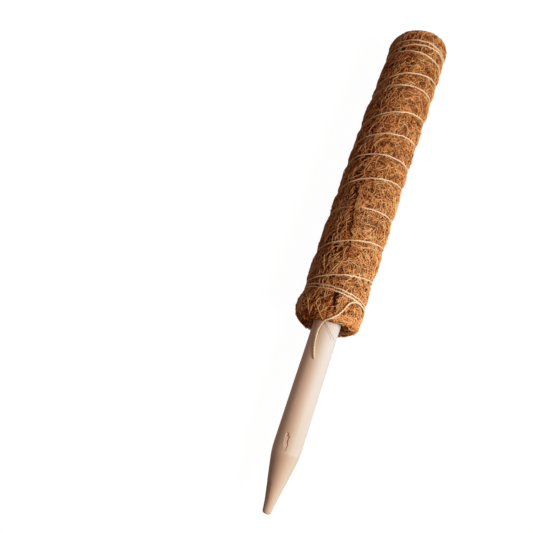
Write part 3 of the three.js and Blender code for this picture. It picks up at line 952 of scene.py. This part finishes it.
def make_rim_fibres(draw, end):
    """Fibres that come along the mat to one end of it and turn in over the rim, or stick out past it."""
    start = -draw.uniform(1, 6, RIM_FIBRES)[:, None]
    finish = draw.uniform(0.5, 5, RIM_FIBRES)[:, None]
    run = (start + (finish - start) * FIBRE_SHARE) * MM
    drift = draw.normal(0, 25, RIM_FIBRES)[:, None] * (FIBRE_SHARE - 0.5)
    sway = 5 * np.sin(2 * np.pi * FIBRE_SHARE + draw.uniform(0, 2 * np.pi, RIM_FIBRES)[:, None])
    angle = draw.uniform(-180, 180, RIM_FIBRES)[:, None] + drift + sway
    height = weave(draw, RIM_FIBRES, middle=0.45)
    stray = draw.uniform(0, 1, RIM_FIBRES)[:, None] < STRAY_SHARE
    on_end = run > 0
    turned_in = np.maximum(0.35 * MM - 0.5 * height * MM, 0.05 * MM)
    depth = np.where(on_end, np.where(stray, -0.5 * run, turned_in), -run)
    rise = end_rise(angle, depth, end)
    opening = opening_depth(rise, angle)
    radius = mat_form(rise, angle) - OPENING_DIP * opening
    radius = radius + np.where(on_end, -run * np.where(stray, 0.45, 1), height * MM)
    tone = drawn_tones(draw, RIM_FIBRES, draw.choice(RIM_TONES, RIM_FIBRES), height)
    tone = tone - OPENING_TONE * opening / MM - 0.35 * painted_shade_share(angle)
    thickness = draw.uniform(0.36, 0.6, RIM_FIBRES) * MM
    turn = np.radians(angle)
    beside = np.stack([np.zeros_like(turn), -np.cos(turn), -np.sin(turn)], -1)
    fibre_piece(f"coir_fibres_{end}_rim", rise, angle, radius, thickness, tone, beside)


end_draw = np.random.default_rng(22)
for mat_end in ("lower", "upper"):
    make_end_fibres(end_draw, mat_end)
    make_rim_fibres(end_draw, mat_end)


# Long fibres that stand out by themselves: rise in millimetres and angle of each point
LONG_FIBRES = [
    [(19.5, -51), (15.5, -60), (10.5, -48), (4.5, -44), (1.5, -52)],
    [(18.5, -85), (17.5, -77), (15.5, -59)],
    [(9.5, -47), (4.5, -42), (1, -40)],
    [(142.5, -20), (146.5, -17), (152.5, -4)],
    [(123.5, -4), (127.5, -6), (131.5, -6), (135.5, -2)],
    [(138.5, -51), (141.5, -47), (144.5, -43)],
    [(164.5, 15), (169.5, 22), (172.5, 30)],
    [(66.5, 18), (73.5, 26), (81.5, 35)],
    [(82.5, 34), (81.5, 44), (79.5, 56)],
    [(54.5, 2), (57.5, 16), (60.5, 33), (61.5, 51)],
    [(55.8, 8), (58.4, 22), (61.2, 38), (62.6, 56)],
    [(32.5, -24), (36.5, -18), (41.5, -13)],
    [(41.5, -21), (41.5, -11), (43.5, -2), (47.5, 0)],
    [(33.5, -35), (40.5, -41), (47.5, -46)],
    [(254.5, 5), (256.5, 2), (259.5, 5), (262.5, 11)],
    [(208.5, -27), (212.5, -17)],
    [(202.5, -25), (204.5, 0), (208.5, 14), (214.5, 28)],
    [(224.5, -18), (229.5, -11)],
    [(69, -13), (67.3, -9.2), (65.7, -4.6), (64.3, 0), (63.9, 3)],
    [(68.2, -13.5), (66.5, -9.4), (64.9, -5), (63.5, -1)],
    [(10.7, 3.8), (8.8, 8.5), (6.8, 14.1)],
    [(9.9, 3), (8, 7.2), (6.2, 12)],
    [(9.1, 2.6), (7.2, 6.2), (5.8, 9.5)],
]


# Fibres that hang free below the mat: rise, angle and distance from the pole's axis, then thickness and tone
FREE_FIBRES = [
    ([(19, -30, 24.2), (12.4, -31.7, 24.8), (7.1, -29.2, 24.8), (3.6, -23.7, 24.8), (-0.3, -16.3, 24.3),
      (-2.1, -12.2, 21.5), (-2.1, -10.6, 16)], 0.6, 0.8),
    ([(2.5, -24, 10.5), (-0.3, -14.3, 10.2), (-3.2, 3.2, 10.2), (-7.5, 29.1, 10.2), (-10.7, 56.9, 10.2)],
     0.24, 0.4),
    ([(2.5, -22, 10.5), (-2.9, -5.5, 10.2), (-6.5, 11.1, 10.2), (-11.4, 37.8, 10.2)], 0.2, 0.4),
]
LONG_TONE = 1.15
LONG_THICKNESS = 0.55 * MM


def even_places(route):
    """A fibre's places along a smooth curve through its points."""
    curve = smooth_route(route, steps=12)
    place = np.linspace(0, len(curve) - 1, FIBRE_PLACES)
    return np.stack([np.interp(place, np.arange(len(curve)), line) for line in curve.T], -1)


def make_long_fibres():
    rise, angle = np.moveaxis([even_places(route) for route in LONG_FIBRES], -1, 0)
    rise = rise * MM
    height = 1.4 - 0.8 * BURIED_ENDS
    radius = mat_form(rise, angle) + height * MM
    thickness = np.full(len(rise), LONG_THICKNESS)
    stain = 0.45 * painted_shade_share(angle)
    fibre_piece("coir_fibres_long", rise, angle, radius, thickness, LONG_TONE, stain=stain)


def make_free_fibres():
    routes, thicknesses, tones = zip(*FREE_FIBRES)
    rise, angle, radius = np.moveaxis([even_places(route) for route in routes], -1, 0)
    thickness = np.array(thicknesses) * MM
    tone = np.array(tones)[:, None]
    fibre_piece("coir_fibres_free", rise * MM, angle, radius * MM, thickness, tone, stain=0)


make_long_fibres()
make_free_fibres()


# Winding of the twine
TWINE_BED = 23.4 * MM  # distance of the twine's centre from the pole's axis
TWINE_SINKING = 0.3 * MM  # how far it sinks into the mat on the +Y side
UNDERSIDE_TWINE_HEIGHT = 0.75 * MM
TWINE_STEP = 0.5 * MM
WAVER_OUT = 0.15 * MM
WAVER_ALONG = 0.25 * MM
KNOT_OVERLAP = 3  # degrees by which the winding runs into its knots


def winding_path(angle):
    rise = twine_rise(angle)
    waver = twine_waver.at(pole_point(MAT_X + rise, angle, 2 * TWINE_BED))
    sinking = TWINE_SINKING * np.clip(-facing(angle), 0, 1)
    radius = TWINE_BED + lean_at(rise, angle) - slack_at(rise, angle) - sinking + WAVER_OUT * waver
    path = pole_point(MAT_X + rise + WAVER_ALONG * waver, angle, radius)
    path[..., 2] = np.maximum(path[..., 2], UNDERSIDE_TWINE_HEIGHT)
    return path


def make_winding():
    whole = math.radians(WINDING_END - WINDING_START) * TWINE_BED
    places = int(whole / TWINE_STEP)
    angle = np.linspace(WINDING_START - KNOT_OVERLAP, WINDING_END + KNOT_OVERLAP, places)
    plies = ply_paths(winding_path(angle), PLY_OFFSET, PLY_PITCH)
    winding = tube_piece("twine_winding_twisted", plies, ply_radii(plies), PLY_SIDES, TWINE)
    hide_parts("twine_winding")


make_winding()


# Knots
KNOT_TURNS = 2.3
KNOT_LENGTH = 2.6 * MM
KNOT_SWELL = 0.55 * MM  # distance of its turns from its middle
KNOT_SINKING = 0.6 * MM
KNOT_PLY_RADIUS = 0.3 * MM


def make_knot(node, angle, rise):
    """A barrel of two tight turns along the twine."""
    share = np.linspace(0, 1, 90)[:, None]
    turn = 2 * np.pi * KNOT_TURNS * share
    out = KNOT_SWELL * np.sin(np.pi * share) ** 0.6
    bed = lean_at(rise, angle) - slack_at(rise, angle)
    centre = pole_point(MAT_X + rise, angle, KNOT_RADIUS + bed - KNOT_SINKING)
    sine, cosine = math.sin(math.radians(angle)), math.cos(math.radians(angle))
    outward = np.array([0, -sine, cosine])
    forward = np.array([0, -cosine, -sine])
    sideways = np.cross(forward, outward)
    path = centre + forward * (share - 0.5) * KNOT_LENGTH
    path = path + out * (outward * np.cos(turn) + sideways * np.sin(turn))
    plies = ply_paths(path, ply_offset=0.24 * MM, pitch=3.2 * MM)
    knot = tube_piece(node + "_tied", plies, KNOT_PLY_RADIUS, PLY_SIDES, TWINE)
    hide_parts(node)


make_knot("lower_knot", LOWER_KNOT_ANGLE, float(twine_rise(LOWER_KNOT_ANGLE)))
make_knot("upper_knot", UPPER_KNOT_ANGLE, float(twine_rise(WINDING_END)))


# Stake
POINT_LENGTH = 40 * MM
SHOULDER_LENGTH = 12 * MM
NECK_LENGTH = 6 * MM
NECK_RADIUS = 3.55 * MM
END_RADIUS = 2.8 * MM
END_ROUNDING = 1.8 * MM
# The split in the stake: station in millimetres and angle of each point
CRACK_ROUTE = [
    (53.1, -21.5), (52.2, -13.3), (51.1, -17.4), (50.5, -7.6), (48.6, -9.8), (46.5, -8.4), (45, -4),
    (43.3, -5.5), (41.3, -5.3),
]
CRACK_WIDTHS = [(41, 0.3), (45.5, 0.42), (47.5, 0.68), (51.5, 0.68), (53.5, 0.4)]  # its reach by station
CRACK_DEPTH = 0.4 * MM
SLIVER_ROUTE = [(52.1, -23.8), (49, -23.9), (46.1, -20.9), (43.7, -15.3)]
SLIVER_REACH = 0.85 * MM
SLIVER_RAISE = 0.14 * MM
# Edge of the flat that is pared off the cone, in the same way
FACET_EDGE = [(3, -14), (5.5, -19), (9.8, -23), (14.8, -26), (18.9, -30), (22.9, -31)]
FACET_DEPTH = 0.15 * MM
# Stretches of the stake and their numbers of rows, and sectors and their numbers of columns
STAKE_ROWS = [
    (0, END_ROUNDING, 8), (END_ROUNDING, 39 * MM, 59), (39 * MM, 54 * MM, 75), (54 * MM, FREE_LENGTH, 59),
    (FREE_LENGTH, STAKE_LENGTH, 19),
]
STAKE_COLUMNS = [(-35, 15, 56), (15, 325, 110)]
TURNING_DEPTH = 0.06 * MM
turning_marks = Unevenness(31, 14 * MM)


def stake_radius(station):
    """Radius of the turned stake: neck, cone, rounded shoulder and rod, with its end rounded."""
    taper = (STAKE_RADIUS - NECK_RADIUS) / (POINT_LENGTH - NECK_LENGTH)
    neck = END_RADIUS + (NECK_RADIUS - END_RADIUS) * station / NECK_LENGTH
    cone = STAKE_RADIUS - taper * (POINT_LENGTH - station)
    past = POINT_LENGTH + SHOULDER_LENGTH / 2 - station
    shoulder = STAKE_RADIUS - taper * past**2 / (2 * SHOULDER_LENGTH)
    radius = np.where(station < NECK_LENGTH, neck, np.where(past > SHOULDER_LENGTH, cone, shoulder))
    radius = np.where(past < 0, STAKE_RADIUS, radius)
    rounding = np.clip(1 - station / END_ROUNDING, 0, 1)
    return radius - END_ROUNDING * (1 - np.sqrt(1 - rounding**2))


def distance_to_route(station, angle, route):
    """Least distance of places on the stake from a crooked line on it."""
    across = np.radians(wrapped(angle)) * STAKE_RADIUS
    least = np.full(np.broadcast(station, angle).shape, 1.0)
    knots = np.array([(place * MM, math.radians(turn) * STAKE_RADIUS) for place, turn in route])
    for low, high in zip(knots[:-1], knots[1:]):
        least = np.minimum(least, distance_to_run(station, across, low, high))
    return least


def facet_share(station, angle):
    """How far, from 0 to 1, a place on the stake lies on the flat that is pared off its cone."""
    left = along_route(station, FACET_EDGE) - wrapped(angle)
    facet = smooth_step(left, 0, 5) * (1 - smooth_step(left, 80, 110))
    return facet * smooth_step(station, 3 * MM, 9 * MM) * (1 - smooth_step(station, 19 * MM, 21 * MM))


def make_stake():
    rows = [np.linspace(low, high, count, endpoint=False) for low, high, count in STAKE_ROWS]
    station = np.concatenate([*rows, [STAKE_LENGTH]])[:, None]
    columns = [np.linspace(low, high, count, endpoint=False) for low, high, count in STAKE_COLUMNS]
    angle = np.concatenate(columns)[None, :]
    turned = TURNING_DEPTH * turning_marks.at(pole_point(station, angle, STAKE_RADIUS))
    crack_reach = along_route(station, CRACK_WIDTHS) * MM
    crack = 1 - smooth_step(distance_to_route(station, angle, CRACK_ROUTE) / crack_reach, 0.2, 1)
    sliver = bell(distance_to_route(station, angle, SLIVER_ROUTE), SLIVER_REACH)
    facet = facet_share(station, angle)
    radius = stake_radius(station) + turned - CRACK_DEPTH * crack
    radius = radius + SLIVER_RAISE * sliver * (1 - crack) - FACET_DEPTH * facet
    points = pole_point(POINT_X + station, angle, radius)
    faces, layout = wall_faces(*radius.shape, closed=False)
    around = radius.shape[1]
    numbers = list(range(radius.size))
    faces = [*faces, numbers[:around], numbers[-around:][::-1]]
    layout = np.concatenate([layout, np.repeat([[0.999, 0.001], [0.999, 0.999]], around, 0)])

    # Where each colour of the wood lies, with shade and light painted by the side of the stake
    tan_side = (1 - facing(angle)) / 2
    border = POINT_LENGTH - 0.5 * MM + 0.8 * MM * facing(angle)
    fading = 0.9 * MM + 8 * MM * tan_side**2
    cone = 1 - smooth_step((station - border) / fading, -1, 1)
    painted = {
        "cone": np.maximum(cone, 0.4 * (1 - smooth_step(station, 40 * MM, 80 * MM))),
        "crack": crack,
        "sliver": sliver,
        "facet": facet,
        "tan_side": tan_side - 0.1 * smooth_step(station, 90 * MM, 125 * MM),
        "end": smooth_step(station, STAKE_LENGTH - 0.1 * MM, STAKE_LENGTH),
    }
    stake = new_piece("stake_turned", points, faces, layout, WOOD, painted)
    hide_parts("stake")


make_stake()


# Floor and light: each lamp's angle is counted from the top line towards -Y
LAMP_DISTANCE = 1.3
KEY_X = -0.3
KEY_ANGLE = 45
KEY_SIZE = 0.45
KEY_POWER = 18.1
FILL_ANGLE = 112
FILL_SIZE = 0.8
FILL_POWER = 6
SHADE_COLOUR = (0.267, 0.216, 0.194)
FLOOR_GLOW = 0.975
FLOOR_TONE = 0.055
FLOOR_REACH = 6
FLOOR_HEIGHT = -0.02 * MM


def make_floor():
    mesh = bpy.data.meshes.new("floor")
    corners = [(-1, -1), (1, -1), (1, 1), (-1, 1)]
    points = [(x * FLOOR_REACH, y * FLOOR_REACH, FLOOR_HEIGHT) for x, y in corners]
    mesh.from_pydata(points, [], [(0, 1, 2, 3)])
    finish = Finish("plain_pale_floor", roughness=1, specular=0)
    finish.surface("Base Color", (FLOOR_TONE,) * 3)
    finish.surface("Emission Color", (1, 1, 1))
    finish.surface("Emission Strength", FLOOR_GLOW)
    mesh.materials.append(finish.material)
    floor = bpy.data.objects.new("floor", mesh)
    bpy.context.scene.collection.objects.link(floor)
    floor.visible_diffuse = False
    floor.visible_glossy = False


def make_light(name, x, angle, size, power):
    lamp = bpy.data.lights.new(name, "AREA")
    lamp.shape = "SQUARE"
    lamp.size = size
    lamp.energy = power
    light = bpy.data.objects.new(name, lamp)
    bpy.context.scene.collection.objects.link(light)
    turn = math.radians(angle)
    towards = Vector((0, -math.sin(turn), math.cos(turn)))
    light.location = Vector((x, 0, AXIS_HEIGHT)) + towards * LAMP_DISTANCE
    light.rotation_euler = towards.to_track_quat("Z", "Y").to_euler()


def make_surroundings():
    world = bpy.data.worlds.new("studio")
    bpy.context.scene.world = world
    world.use_nodes = True
    tree = world.node_tree
    shade = tree.nodes["Background"]
    shade.inputs["Color"].default_value = (*SHADE_COLOUR, 1)
    backdrop = tree.nodes.new("ShaderNodeBackground")
    backdrop.inputs["Color"].default_value = (1, 1, 1, 1)
    seen = tree.nodes.new("ShaderNodeLightPath")
    either = tree.nodes.new("ShaderNodeMixShader")
    tree.links.new(seen.outputs["Is Camera Ray"], either.inputs[0])
    tree.links.new(shade.outputs[0], either.inputs[1])
    tree.links.new(backdrop.outputs[0], either.inputs[2])
    tree.links.new(either.outputs[0], tree.nodes["World Output"].inputs["Surface"])
    bpy.context.scene.view_settings.view_transform = "Standard"


make_floor()
make_light("key_light", KEY_X, KEY_ANGLE, KEY_SIZE, KEY_POWER)
make_light("fill_light", 0, FILL_ANGLE, FILL_SIZE, FILL_POWER)
make_surroundings()
